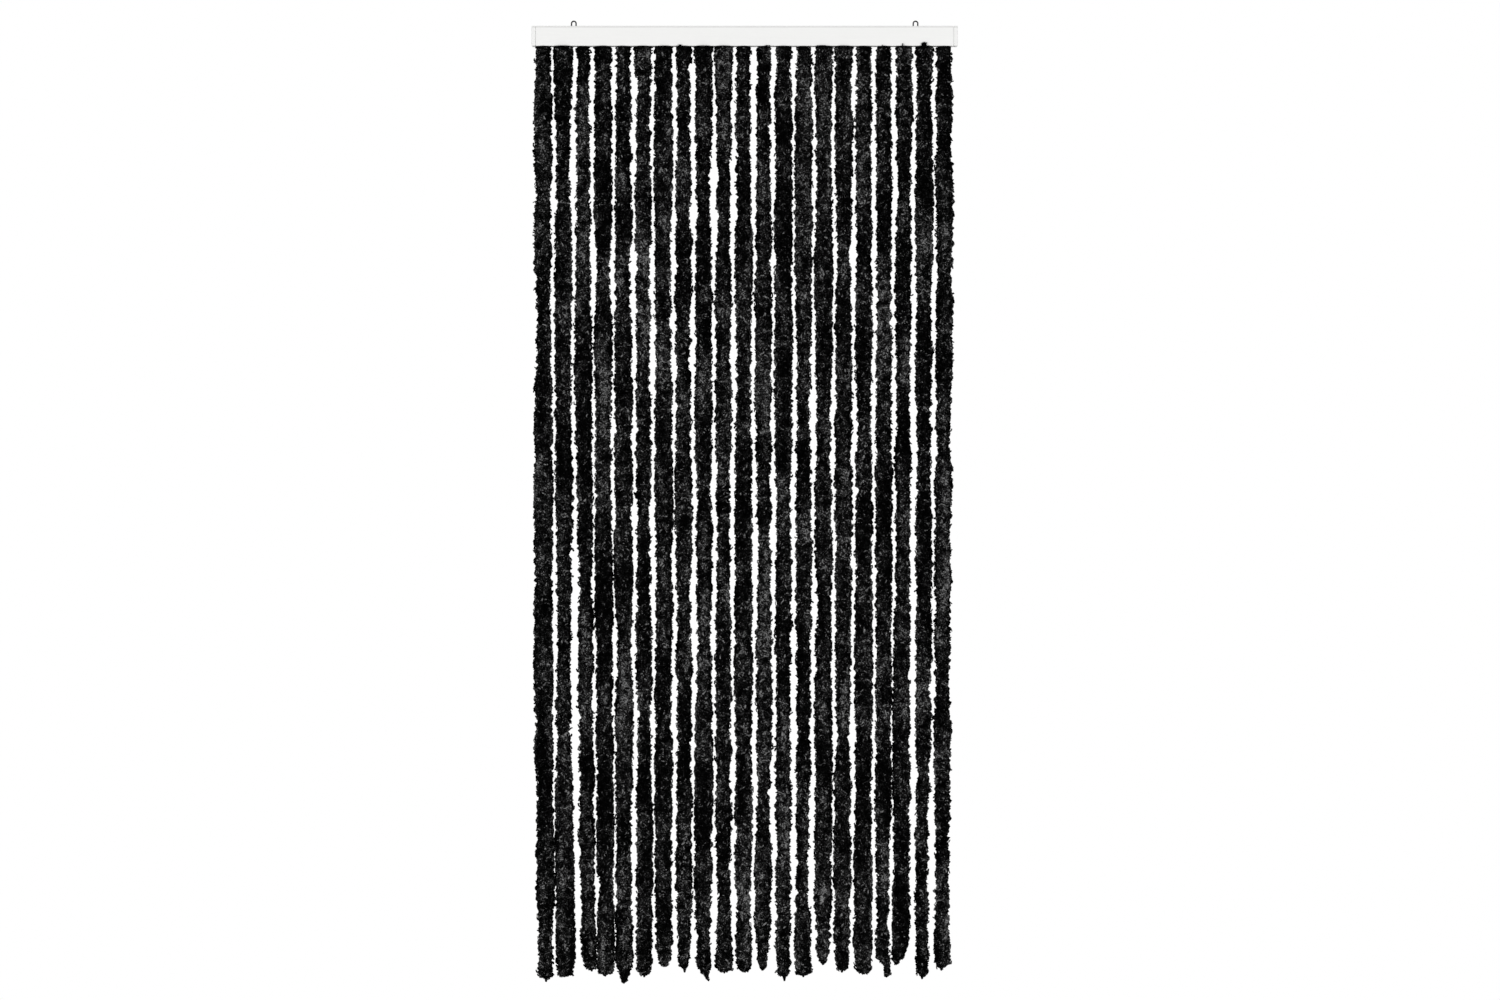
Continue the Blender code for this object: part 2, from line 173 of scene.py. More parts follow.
class CurtainPile(bpy.types.PropertyGroup):
    """Sizes of the chenille pile."""

    top_gap: bpy.props.FloatProperty(
        name="Top gap",
        description="Between the rail's underside and the pile",
        default=0.5 * MM,
        precision=4,
        unit="LENGTH",
    )
    usual_width: bpy.props.FloatProperty(
        name="Usual width",
        description="Over the pile of a usual strand",
        default=33 * MM,
        precision=4,
        unit="LENGTH",
    )
    swell: bpy.props.FloatProperty(
        name="Swell",
        description="How much a strand's half width wanders over a hand's length",
        default=3 * MM,
        precision=4,
        unit="LENGTH",
    )
    hang_offset: bpy.props.FloatProperty(
        name="Hang offset",
        description="How far the piles lie to the right of their hangers",
        default=3 * MM,
        precision=4,
        unit="LENGTH",
    )
    gather: bpy.props.FloatProperty(
        name="Gather",
        description="Share of the way to the middle that the lower ends have moved",
        default=0.014,
    )
    cell: bpy.props.FloatProperty(
        name="Skin cell",
        description="Spacing of the points on the skin between the locks",
        default=4.4 * MM,
        precision=4,
        unit="LENGTH",
    )
    skin_sides: bpy.props.IntProperty(
        name="Skin sides",
        description="Points round the skin",
        default=26,
        min=8,
    )
    close_length: bpy.props.FloatProperty(
        name="End rounding",
        description="Height over which the lower end rounds to a close",
        default=9 * MM,
        precision=4,
        unit="LENGTH",
    )
    reach: bpy.props.FloatProperty(
        name="Lock reach",
        description="How far the locks stand out of the skin",
        default=1.5 * MM,
        precision=4,
        unit="LENGTH",
    )
    lump_height: bpy.props.FloatProperty(
        name="Lump height",
        description="Height of the slow lumps in the skin",
        default=1.8 * MM,
        precision=4,
        unit="LENGTH",
    )
    tuft_height: bpy.props.FloatProperty(
        name="Tuft height",
        description="Height of the small tufts in the skin",
        default=3.7 * MM,
        precision=4,
        unit="LENGTH",
    )
    locks: bpy.props.IntProperty(
        name="Locks",
        description="Curled locks on each strand",
        default=3300,
        min=1,
    )
    lock_length: bpy.props.FloatProperty(
        name="Lock length",
        description="Length of a usual lock along its curl",
        default=10.5 * MM,
        precision=4,
        unit="LENGTH",
    )
    lock_width: bpy.props.FloatProperty(
        name="Lock width",
        description="Thickness of a usual lock at its root",
        default=4.0 * MM,
        precision=4,
        unit="LENGTH",
    )
    curl_height: bpy.props.FloatProperty(
        name="Curl height",
        description="How far neighbouring locks stand higher or lower than each other",
        default=1.0 * MM,
        precision=4,
        unit="LENGTH",
    )
    bound: bpy.props.FloatProperty(
        name="Pile bound",
        description="The most that any lock stands off the strand's middle",
        default=22.5 * MM,
        precision=4,
        unit="LENGTH",
    )
    least_gap: bpy.props.FloatProperty(
        name="Least gap",
        description="Between neighbouring piles, below the stretch where the rail presses them flat",
        default=1.6 * MM,
        precision=4,
        unit="LENGTH",
    )
    crossing: bpy.props.FloatProperty(
        name="Crossing reach",
        description="How far a pile reaches sideways even where a neighbour hangs across it",
        default=17 * MM,
        precision=4,
        unit="LENGTH",
    )
    curls: bpy.props.IntProperty(
        name="Curls",
        description="Rounder curls that lie on the locks of each strand",
        default=240,
        min=1,
    )
    curl_width: bpy.props.FloatProperty(
        name="Curl width",
        description="Thickness of a usual curl",
        default=2.3 * MM,
        precision=4,
        unit="LENGTH",
    )
    curl_radius: bpy.props.FloatProperty(
        name="Curl radius",
        description="Radius that a usual curl turns at",
        default=4.2 * MM,
        precision=4,
        unit="LENGTH",
    )
    depth: bpy.props.FloatProperty(
        name="Pile depth",
        description="Half the most that the pile measures from front to back",
        default=21.0 * MM,
        precision=4,
        unit="LENGTH",
    )
    nub_width: bpy.props.FloatProperty(
        name="Nub width",
        description="Thickness of the sealed end of the core",
        default=4.6 * MM,
        precision=4,
        unit="LENGTH",
    )
    bend_length: bpy.props.FloatProperty(
        name="Bend length",
        description="Distance below the hanger's eye at which the bend of a swinging strand ends",
        default=32 * MM,
        precision=4,
        unit="LENGTH",
    )
    seed: bpy.props.IntProperty(
        name="Seed",
        description="Start of the random draws",
        default=21,
    )


class CurtainColours(bpy.types.PropertyGroup):
    """Colours of the finishes."""

    pile_black: bpy.props.FloatVectorProperty(
        name="Pile, dark",
        description="The pile where it lies closed",
        default=(0.0004, 0.0004, 0.0004),
        subtype="COLOR",
    )
    pile_grey: bpy.props.FloatVectorProperty(
        name="Pile, open",
        description="The lightest locks, where the pile lies open and catches the light",
        default=(0.2, 0.2, 0.201),
        subtype="COLOR",
    )
    paint: bpy.props.FloatVectorProperty(
        name="Rail paint",
        description="Satin white paint on the rail",
        default=(0.86, 0.86, 0.85),
        subtype="COLOR",
    )
    plastic: bpy.props.FloatVectorProperty(
        name="Cap plastic",
        description="White moulded plastic of the end caps",
        default=(0.85, 0.85, 0.84),
        subtype="COLOR",
    )
    wire: bpy.props.FloatVectorProperty(
        name="Wire",
        description="Dark zinc on the hanging eyes",
        default=(0.014, 0.014, 0.015),
        subtype="COLOR",
    )
    nylon: bpy.props.FloatVectorProperty(
        name="Nylon",
        description="Natural nylon of the hangers",
        default=(0.78, 0.77, 0.72),
        subtype="COLOR",
    )


class CurtainStage(bpy.types.PropertyGroup):
    """Camera, lamps and floor."""

    camera_distance: bpy.props.FloatProperty(
        name="Camera distance",
        description="From the camera to the curtain",
        default=9.0,
        unit="LENGTH",
    )
    view_width: bpy.props.FloatProperty(
        name="View width",
        description="What the picture is wide at the curtain",
        default=3.1695,
        unit="LENGTH",
    )
    view_middle: bpy.props.FloatVectorProperty(
        name="View middle",
        description="The point at the middle of the picture",
        default=(0.0113, 0.0, -1.0101),
        subtype="XYZ",
        unit="LENGTH",
    )
    front_power: bpy.props.FloatProperty(
        name="Front light",
        description="Power of each of the two soft lamps in front",
        default=126.0,
        unit="POWER",
    )
    ambient: bpy.props.FloatProperty(
        name="Ambient light",
        description="Strength of the even light from all round",
        default=0.42,
    )
    floor_drop: bpy.props.FloatProperty(
        name="Floor drop",
        description="From the longest strand's tip to the floor",
        default=0.25,
        unit="LENGTH",
    )
    floor_radius: bpy.props.FloatProperty(
        name="Floor radius",
        description="The floor fades into the background at this radius",
        default=1.75,
        unit="LENGTH",
    )


# Surfaces worked out with numpy


def eased_under(value, most, knee=0.8):
    """The value up to the knee's share of the most, and what is past it eased by a tanh, so that
    it never passes the most."""
    past = (value / most - knee) / (1 - knee)
    return np.where(past > 0, most * (knee + (1 - knee) * np.tanh(past)), value)


def unit(vectors):
    return vectors / np.maximum(np.linalg.norm(vectors, axis=-1, keepdims=True), 1e-12)


def noise_field(low, high, cell, rng):
    """Smooth noise from -1 to 1 in a box: random numbers on a lattice of that cell, and between
    them a mix that is eased by t*t*(3 - 2t) along each axis."""
    low = np.asarray(low, float) - cell
    count = np.ceil((np.asarray(high, float) - low) / cell).astype(int) + 2
    lattice = rng.random(count) * 2 - 1

    def field(points):
        place = np.clip((points - low) / cell, 0, count - 1.001)
        corner = place.astype(int)
        t = place - corner
        t = t * t * (3 - 2 * t)
        out = 0
        for shift in np.ndindex(2, 2, 2):
            share = np.prod(np.where(np.array(shift), t, 1 - t), axis=-1)
            x, y, z = np.moveaxis(corner + shift, -1, 0)
            out = out + share * lattice[x, y, z]
        return out

    return field


def turned_skin(centres, radii):
    """A closed skin: ring n lies level round centre n at the radii of row n, and the first and
    last centres are its poles. Returns points, triangles, and each corner's row and turn."""
    rows, sides = radii.shape
    angles = np.arange(sides) * TURN / sides
    way = np.stack([np.cos(angles), np.sin(angles), np.zeros(sides)], axis=1)
    rings = centres[1:-1, None] + radii[..., None] * way
    points = np.concatenate([centres[:1], rings.reshape(-1, 3), centres[-1:]])
    row, side = np.meshgrid(np.arange(rows - 1), np.arange(sides), indexing="ij")
    row, side = row.ravel(), side.ravel()
    onward = (side + 1) % sides
    a = 1 + row * sides + side
    b = 1 + (row + 1) * sides + side
    c = 1 + (row + 1) * sides + onward
    d = 1 + row * sides + onward
    walls = np.concatenate([np.stack([a, b, c], 1), np.stack([a, c, d], 1)])
    first, after = np.arange(sides), (np.arange(sides) + 1) % sides
    base = 1 + (rows - 1) * sides
    top = np.stack([0 * first, 1 + first, 1 + after], 1)
    bottom = np.stack([base + first, 0 * first + len(points) - 1, base + after], 1)
    high, low = row + 1, row + 2
    wall_rows = np.concatenate([np.stack([high, low, low], 1), np.stack([high, low, high], 1)])
    wall_turns = np.concatenate(
        [np.stack([side, side, side + 1], 1), np.stack([side, side + 1, side + 1], 1)]
    )
    top_rows = np.stack([0 * first, 0 * first + 1, 0 * first + 1], 1)
    bottom_rows = np.stack([0 * first + rows, 0 * first + rows + 1, 0 * first + rows], 1)
    pole_turns = np.stack([first + 0.5, first, first + 1], 1)
    low_turns = np.stack([first, first + 0.5, first + 1], 1)
    corner_rows = np.concatenate([wall_rows, top_rows, bottom_rows]) / (rows + 1)
    corner_turns = np.concatenate([wall_turns, pole_turns, low_turns]) / sides
    return points, np.concatenate([walls, top, bottom]), corner_rows, corner_turns


def lock_tubes(paths, radii):
    """Closed three-sided tubes, one along each path: every point but the last carries a triangle
    square to the path, and the last is the tip. Returns points, triangles and their layout."""
    count, steps = paths.shape[:2]
    way = unit(np.gradient(paths, axis=1))[:, :-1]
    across = unit(np.cross(way, np.roll(way, 1, axis=2) + [0.31, -0.17, 0.23]))
    over = np.cross(way, across)
    angles = np.arange(3) * TURN / 3
    ring = across[:, :, None] * np.cos(angles)[:, None] + over[:, :, None] * np.sin(angles)[:, None]
    rings = paths[:, :-1, None] + ring * radii[:, :, None, None]
    each = 3 * (steps - 1) + 1
    points = np.concatenate([rings.reshape(count, -1, 3), paths[:, -1:]], axis=1)
    faces, layout = [(0, 2, 1)], [((0.0, 0.1), (0.5, 0.0), (1.0, 0.1))]
    for step in range(steps - 2):
        for side in range(3):
            a, b = 3 * step + side, 3 * step + (side + 1) % 3
            left, right = side / 3, (side + 1) / 3
            low = 0.1 + 0.9 * step / (steps - 1)
            high = 0.1 + 0.9 * (step + 1) / (steps - 1)
            faces += [(a, b, b + 3), (a, b + 3, a + 3)]
            layout += [((left, low), (right, low), (right, high))]
            layout += [((left, low), (right, high), (left, high))]
    last = 3 * (steps - 2)
    low = 0.1 + 0.9 * (steps - 2) / (steps - 1)
    for side in range(3):
        faces += [(last + side, last + (side + 1) % 3, each - 1)]
        layout += [((side / 3, low), ((side + 1) / 3, low), ((side + 0.5) / 3, 1.0))]
    triangles = np.array(faces)[None] + each * np.arange(count)[:, None, None]
    return points.reshape(-1, 3), triangles.reshape(-1, 3), np.array(layout)


def mesh_object(name, points, triangles, material, corner_map=None, **values):
    """A smooth mesh object at the origin, with a map for its corners and values for its points."""
    mesh = bpy.data.meshes.new(name)
    mesh.vertices.add(len(points))
    mesh.vertices.foreach_set("co", points.astype(np.float32).ravel())
    mesh.loops.add(triangles.size)
    mesh.loops.foreach_set("vertex_index", triangles.astype(np.int32).ravel())
    mesh.polygons.add(len(triangles))
    mesh.polygons.foreach_set("loop_start", np.arange(0, triangles.size, 3, dtype=np.int32))
    mesh.update(calc_edges=True)
    mesh.shade_smooth()
    if corner_map is not None:
        layer = mesh.uv_layers.new(name="OFBake")
        layer.uv.foreach_set("vector", corner_map.astype(np.float32).ravel())
    for attribute, numbers in values.items():
        made = mesh.attributes.new(attribute, "FLOAT", "POINT")
        made.data.foreach_set("value", numbers.astype(np.float32))
    mesh.materials.append(material)
    obj = bpy.data.objects.new(name, mesh)
    bpy.context.scene.collection.objects.link(obj)
    return obj


class StrandForm:
    """Where one strand's pile lies, by the distance below its flat top."""

    def __init__(self, number, sizes, rng):
        name = STRAND_NODES[number]
        self.pivot = np.array(PIVOTS[name])
        self.top = RAIL_LOW.z - sizes.top_gap
        taper, self.left, self.roundness, tail, lean, nub = ENDS[number]
        self.taper, self.tail, self.lean = taper * MM, tail * MM, lean * MM
        self.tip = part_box(name)[0].z
        self.nub = nub * MM
        self.length = self.top - self.tip - self.nub
        self.close = sizes.close_length * min(1, self.left + 0.2)
        self.width = sizes.usual_width * WIDTH_SHARES[number]
        self.swell, self.hang_offset = sizes.swell, sizes.hang_offset
        self.gathered = CROSSINGS.get(number, 0) * MM - sizes.gather * self.pivot[0]
        self.set_back = SET_BACKS[number] * MM
        self.reach = sizes.reach
        self.depth, self.bound = sizes.depth, sizes.bound
        self.least_gap, self.crossing = sizes.least_gap, sizes.crossing
        self.beside = {}
        self.heights = sizes.lump_height, sizes.tuft_height
        span = NOISE_REACH_SHARE * self.width
        low = self.pivot - [span, span, 0]
        high = self.pivot + [span, span, 0]
        low[2], high[2] = self.tip, self.top
        self.lumps = noise_field(low, high, LUMP_CELL, rng)
        self.tufts = noise_field(low, high, TUFT_CELL, rng)
        self.curls = noise_field(low, high, CURL_CELL, rng)
        self.swirl = noise_field(low, high, SWIRL_CELL, rng)
        self.clumps = noise_field(low, high, CLUMP_CELL, rng)
        self.patches = noise_field(low, high, PATCH_CELL, rng)
        self.stretches = noise_field(low, high, STRETCH_CELL, rng)
        ends = [0, 0, 0], [0, 0, self.length]
        self.necks = noise_field(*ends, NECK_CELL, rng)
        self.drift = noise_field(*ends, DRIFT_CELL, rng)
        self.swells = noise_field(*ends, SWELL_CELL, rng)
        self.wander = noise_field(*ends, WANDER_CELL, rng)

    def along(self, field, below):
        """Noise that changes only along the strand."""
        return field(np.stack([0 * below, 0 * below, below], axis=-1))

    def centre(self, below):
        """The middle of the pile: right of its hanger, with slow drifts, gathered towards the
        curtain's middle by the square of the share of the way down. The end's lean grows with the
        square of the share of the taper that is passed."""
        out = np.empty((*np.shape(below), 3))
        end = np.clip(1 - (self.length - below - self.tail) / (self.taper + LEAN_START), 0, 1)
        down = np.clip(below / self.length, 0, 1)
        drift = DRIFT * self.along(self.drift, below)
        drift += WANDER * down * self.along(self.wander, below)
        out[..., 0] = self.pivot[0] + self.hang_offset + drift
        out[..., 0] += self.gathered * down**2 + self.lean * end**2
        out[..., 1] = self.set_back * down**2
        out[..., 2] = self.top - below
        return out

    def radius(self, below):
        """Half the width less the locks' reach, wider by exp(-below) under the rail, and with slow
        necks and swells. It narrows over the taper by 1 - (1 - t) to the power of its roundness,
        t being the share of the taper that lies below."""
        flare = TOP_FLARE_SHARE * np.exp(-np.maximum(below, 0) / TOP_FLARE_LENGTH)
        half = self.width / 2 * (1 + flare) - self.reach
        half += NECK_DEPTH * self.along(self.necks, below)
        half += self.swell * self.along(self.swells, below)
        left = (self.length - below - self.tail) / self.taper
        kept = 1 - (1 - np.clip(left, 0, 1)) ** self.roundness
        return half * (self.left + (1 - self.left) * kept)

    def closing(self, below):
        """The ellipse that closes the lower end, as a share of the radius."""
        up = np.clip((self.length - below) / self.close, 0, 1)
        return np.sqrt(1 - (1 - up) ** 2)

    def skin(self, below, angles, share):
        """Points of the skin: the radius with lumps and tufts, which are read where it lies and
        are low where the pile is pressed flat under the rail."""
        way = np.stack([np.cos(angles), np.sin(angles), 0 * angles], axis=-1)
        middle = self.centre(below)
        radius = self.radius(below)
        spots = middle + way * radius[..., None]
        bumps = self.heights[0] * self.lumps(spots) + self.heights[1] * self.tufts(spots)
        bumps = bumps * np.clip(FLAT_TOP_SHARE + below / FLAT_TOP_LENGTH, FLAT_TOP_SHARE, 1)
        return middle, way, (radius + bumps) * share

    def room(self, below, side):
        """How far the pile can reach to that side: half the way to its neighbour's middle, less
        half the gap, which opens from the rail down."""
        if side not in self.beside:
            return np.full(np.shape(below), self.bound)
        apart = self.beside[side].centre(below)[..., 0] - self.centre(below)[..., 0]
        gap = self.least_gap * np.clip(below / GAP_OPENING_LENGTH, GAP_TOP_SHARE, 1)
        return np.maximum((side * apart - gap) / 2, self.crossing)

    def pressed(self, points):
        """Points that stand too far off the middle, or to the front or back, or that come too
        near the neighbours, are eased in."""
        out = points.copy()
        below = self.top - points[..., 2]
        middle = self.centre(below)[..., :2]
        off = points[..., :2] - middle
        far = np.linalg.norm(off, axis=-1, keepdims=True)
        out[..., :2] = middle + off * eased_under(far, self.bound) / np.maximum(far, 1e-9)
        out[..., 1] = np.sign(out[..., 1]) * eased_under(np.abs(out[..., 1]), self.depth)
        aside = out[..., 0] - middle[..., 0]
        room = np.where(aside > 0, self.room(below, 1), self.room(below, -1))
        eased = eased_under(np.abs(aside), room, SIDE_KNEE_SHARE)
        out[..., 0] = middle[..., 0] + np.sign(aside) * eased
        return out

    def tone(self, points, below):
        """Lightness from 0 to 1: greyer stretches, patches and clumps, and a painted shadow, a dark
        line under the rail."""
        shade = TOP_SHADE * np.clip(1 - below / TOP_SHADE_LENGTH, 0, 1)
        slow = STRETCH_TONE * self.stretches(points) + PATCH_TONE * self.patches(points)
        return MEAN_TONE + slow + CLUMP_TONE * self.clumps(points) - shade

    def moved(self, below, down):
        """Distances below the top after moves along the strand, which fade out towards its two
        ends: what is left to the end shrinks by exp(-move / what was left)."""
        rest = np.maximum(self.length - below, 0.5 * MM)
        lower = self.length - rest * np.exp(-np.maximum(down, 0) / rest)
        return np.where(down > 0, lower, below * np.exp(np.minimum(down, 0) / below))

    def normals(self, below, way):
        """Outward from the skin: level along the strand, and turned down where the end closes."""
        step = 1 * MM
        here = self.radius(below) * self.closing(below)
        after = self.radius(below + step) * self.closing(below + step)
        slope = np.clip((after - here) / step, -3, 0.5)
        return unit(way + np.stack([0 * slope, 0 * slope, slope], axis=-1))


def strand_skin(form, sizes, rng):
    """The skin between the locks, from a flat top to a rounded lower end."""
    straight = form.length - form.close
    rows = np.linspace(0, straight, round(straight / sizes.cell))
    turn = np.linspace(0, math.pi / 2, 5)[1:-1]
    lower = straight + form.close * np.sin(turn)
    below = np.concatenate([[0], rows, lower])
    share = np.concatenate([[0.6], np.ones(len(rows)), np.cos(turn)])
    angles = np.arange(sizes.skin_sides) * TURN / sizes.skin_sides
    grid_below, grid_angles = np.meshgrid(below, angles, indexing="ij")
    middle, _, radius = form.skin(grid_below, grid_angles, share[:, None])
    rough = rng.normal(0, ROUGHNESS, radius.shape)
    rough[:2] = 0
    poles = form.centre(np.array([0, form.length]))
    centres = np.concatenate([poles[:1], middle[:, 0], poles[1:]])
    points, triangles, rows, turns = turned_skin(centres, radius + rough)
    return form.pressed(points), triangles, rows, turns


def strand_locks(form, sizes, rng):
    """Curled locks, laid out on the skin: each leaves it at a slant and bends over, so that its
    angle to the outward way grows evenly along it, while the way that it lies turns slowly. What
    it covers on the skin is added up round the strand and along it. Neighbours curl alike."""
    count = sizes.locks
    along = (np.arange(count) + rng.random(count)) / count
    below = 0.002 + along * (form.length - 0.003)
    angles = np.arange(count) * TURN * GOLDEN_SHARE + rng.normal(0, 0.5, count)
    middle, way, radius = form.skin(below, angles, form.closing(below))
    root = middle + way * radius[:, None]
    stand = np.maximum(sizes.curl_height * form.curls(root), 0) - ROOT_SINK
    slender = np.clip(radius / SLENDER_RADIUS, SLENDER_LEAST_SHARE, 1)
    length = sizes.lock_length * rng.uniform(0.7, 1.25, count) * slender
    bends = np.array([0, 0, 1, 2])
    least, most = np.array([LOCK_STARTS, LOCK_BENDS]).T[..., None]
    start, bend = np.radians(rng.uniform(least, most, (2, count)))
    start = np.where(rng.random(count) < UPRIGHT_SHARE, start - UPRIGHT_TURN, start)
    tilt = start[:, None] + bend[:, None] * bends
    swirl = TURN * form.swirl(root) * 1.2 + rng.normal(0, 0.55, count)
    heading = swirl[:, None] + rng.normal(0, 0.5, count)[:, None] * bends
    parts = length[:, None] * LOCK_PART_SHARES
    rise = stand[:, None] + np.cumsum(parts * np.cos(tilt), axis=1)
    aside = np.cumsum(parts * np.sin(tilt) * np.cos(heading), axis=1)
    down = np.cumsum(parts * np.sin(tilt) * np.sin(heading), axis=1)
    low = form.moved(below[:, None], down)
    wound = angles[:, None] + aside / np.maximum(radius, 5 * MM)[:, None]
    middle, way, radius = form.skin(low, wound, form.closing(low))
    out = form.normals(low, way)
    paths = form.pressed(middle + way * radius[..., None] + out * rise[..., None])
    paths[..., 2] = np.minimum(paths[..., 2], form.top - 0.1 * MM)
    thick = sizes.lock_width / 2 * rng.uniform(0.7, 1.2, count) * slender**0.5
    radii = thick[:, None] * LOCK_WIDTH_SHARES
    tone = form.tone(root, below) + rng.uniform(-LOCK_TONE_SPREAD, LOCK_TONE_SPREAD, count)
    points, triangles, layout = lock_tubes(paths, radii)
    # painted shade at the roots, painted highlight at the tips
    shades = np.append(np.repeat(LOCK_SHADES, 3), TIP_SHADE)
    return points, triangles, layout, (tone[:, None] + shades).ravel()


def strand_curls(form, sizes, rng):
    """Rounder curls: arcs of a circle drawn on the skin, which rise in the middle by a sine and
    dip into the pile at both ends."""
    count, steps = sizes.curls, 7
    along = (np.arange(count) + rng.random(count)) / count
    below = 0.012 + along * (form.length - 0.03)
    angles = rng.random(count) * TURN
    radius = sizes.curl_radius * rng.uniform(0.6, 1.3, count)
    span = rng.uniform(0.35, 0.8, count) * TURN * rng.choice([-1, 1], count)
    share = np.linspace(0, 1, steps)
    turn = rng.random(count)[:, None] * TURN + span[:, None] * share
    along_skin = below[:, None] + radius[:, None] * np.sin(turn)
    round_skin = angles[:, None] + radius[:, None] * np.cos(turn) / (15 * MM)
    middle, way, reach = form.skin(along_skin, round_skin, form.closing(along_skin))
    lift = (0.3 + 2.1 * np.sin(np.pi * share)) * MM
    paths = form.pressed(middle + way * (reach + lift)[..., None])
    thick = sizes.curl_width / 2 * rng.uniform(0.8, 1.2, count)
    radii = thick[:, None] * (0.6 + 0.5 * np.sin(np.pi * share[:-1]))
    tone = form.tone(paths[:, 3], below) + 0.16 + rng.normal(0, 0.16, count)
    points, triangles, layout = lock_tubes(paths, radii)
    return points, triangles, layout, np.repeat(tone, 3 * (steps - 1) + 1)


def strand_crest(form, number, rng):
    """Locks that stand up in front of the rail: upright, with a tip that bends to one side."""
    height, place, spread, count = CRESTS[number]
    x = form.pivot[0] + place * MM + rng.normal(0, spread * MM, count)
    rise = height * MM * rng.uniform(0.6, 1.0, count)
    lean = rng.normal(0, 1.2 * MM, count)
    front = RAIL_LOW.y - rng.uniform(1.7, 2.6, count) * MM
    foot = np.full(count, form.top - 5 * MM)
    up = np.stack([foot, form.top + 0 * rise, form.top + 0.75 * rise, form.top + rise], axis=1)
    across = x[:, None] + lean[:, None] * np.array([0.0, 0.2, 0.6, 1.0])
    paths = np.stack([across, np.repeat(front[:, None], 4, axis=1), up], axis=-1)
    radii = 1.4 * MM * rng.uniform(0.8, 1.1, count)[:, None] * np.array([0.9, 1.0, 0.9])
    points, triangles, layout = lock_tubes(paths, radii)
    return points, triangles, layout, np.full(len(points), 0.2)


def skin_map(rows, turns):
    """The skin's map: the strand's length cut into three columns in the left half of the square."""
    columns = 3
    column = np.minimum(rows.mean(axis=1, keepdims=True) * columns, columns - 1e-6).astype(int)
    across = (column + 0.04 + 0.92 * turns) / columns / 2
    up = rows * columns - column
    return np.stack([across, np.clip(0.025 + 0.965 * up, 0, 1)], axis=-1)


def tube_maps(tubes):
    """The locks' maps: a square cell for each in the right half of the square, row by row."""
    counts = [len(triangles) // len(layout) for _, triangles, layout, _ in tubes]
    wide = math.ceil(math.sqrt(sum(counts) / 2))
    high = math.ceil(sum(counts) / wide)
    cells = np.arange(sum(counts))
    corners = np.stack([cells % wide, cells // wide], axis=-1)
    maps = []
    for (_, _, layout, _), part in zip(tubes, np.split(corners, np.cumsum(counts)[:-1])):
        spots = part[:, None, None] + 0.08 + 0.84 * layout[None]
        maps.append(spots.reshape(-1, 3, 2) / [2 * wide, high] + [0.5, 0.0])
    return maps


def strand_nub(form, sizes):
    """The sealed end of the core: a cone that narrows to a pin with a rounded tip."""
    radius = sizes.nub_width / 2
    start = form.length - 4 * MM
    turn = np.linspace(0, math.pi / 2, 4)[:-1]
    low = form.length + form.nub
    below = np.concatenate([[start, low - radius], low - radius + radius * np.sin(turn[1:])])
    share = np.concatenate([[2, 1], np.cos(turn[1:])])
    ends = form.centre(np.array([start - 0.1 * MM, low]))
    rings = form.centre(below)
    centres = np.concatenate([ends[:1], rings, ends[1:]])
    radii = np.repeat((radius * share)[:, None], 8, axis=1)
    return turned_skin(centres, radii)


def build_strand(number, form, rng, sizes, material):
    """One strand: skin, locks and nub in one mesh."""
    name = STRAND_NODES[number]
    points, triangles, rows, turns = strand_skin(form, sizes, rng)
    # The skin, down among the locks, is painted 0.1 darker: painted shade
    tones = form.tone(points, form.top - points[:, 2]) - 0.1
    nub_points, nub_triangles, nub_rows, nub_turns = strand_nub(form, sizes)
    nub_map = np.stack([0.46 + 0.03 * nub_turns, 0.001 + 0.007 * nub_rows], axis=-1)
    parts = [(points, triangles, tones), (nub_points, nub_triangles, np.full(len(nub_points), 0.2))]
    maps = [skin_map(rows, turns), nub_map]
    tubes = [strand_locks(form, sizes, rng), strand_curls(form, sizes, rng)]
    if number in CRESTS:
        tubes.append(strand_crest(form, number, rng))
    parts += [(points, triangles, tones) for points, triangles, _, tones in tubes]
    maps += tube_maps(tubes)
    counts = np.cumsum([0] + [len(part[0]) for part in parts[:-1]])
    strand = mesh_object(
        f"{name}_pile",
        np.concatenate([part[0] for part in parts]),
        np.concatenate([part[1] + first for part, first in zip(parts, counts)]),
        material,
        np.concatenate(maps),
        lock_tone=np.concatenate([part[2] for part in parts]),
    )
    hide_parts(name)
    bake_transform(strand)
    path = form.centre(np.linspace(0, form.length, 60))
    return strand


# Materials


def add_node(tree, kind, inputs=None, **settings):
    """A shader node with its settings, and plain values or links for its inputs."""
    node = tree.nodes.new(kind)
    for key, value in settings.items():
        setattr(node, key, value)
    for key, value in (inputs or {}).items():
        if isinstance(value, bpy.types.NodeSocket):
            tree.links.new(value, node.inputs[key])
        else:
            node.inputs[key].default_value = value
    return node


def new_material(name):
    material = bpy.data.materials.new(name)
    material.use_nodes = True
    tree = material.node_tree
    return material, tree, tree.nodes["Principled BSDF"]


def maths(tree, operation, first, second=0.0, third=0.0, clamp=False):
    values = {0: first, 1: second, 2: third}
    made = add_node(tree, "ShaderNodeMath", values, operation=operation)
    made.use_clamp = clamp
    return made.outputs[0]


def noise(tree, place, scale, detail, roughness=0.5, distortion=0.0):
    values = {"Vector": place, "Scale": scale, "Detail": detail, "Roughness": roughness}
    values["Distortion"] = distortion
    return add_node(tree, "ShaderNodeTexNoise", values).outputs[0]


def socket(tree, name, way, kind, default=None):
    made = tree.interface.new_socket(name=name, in_out=way, socket_type=kind)
    if default is not None:
        made.default_value = default


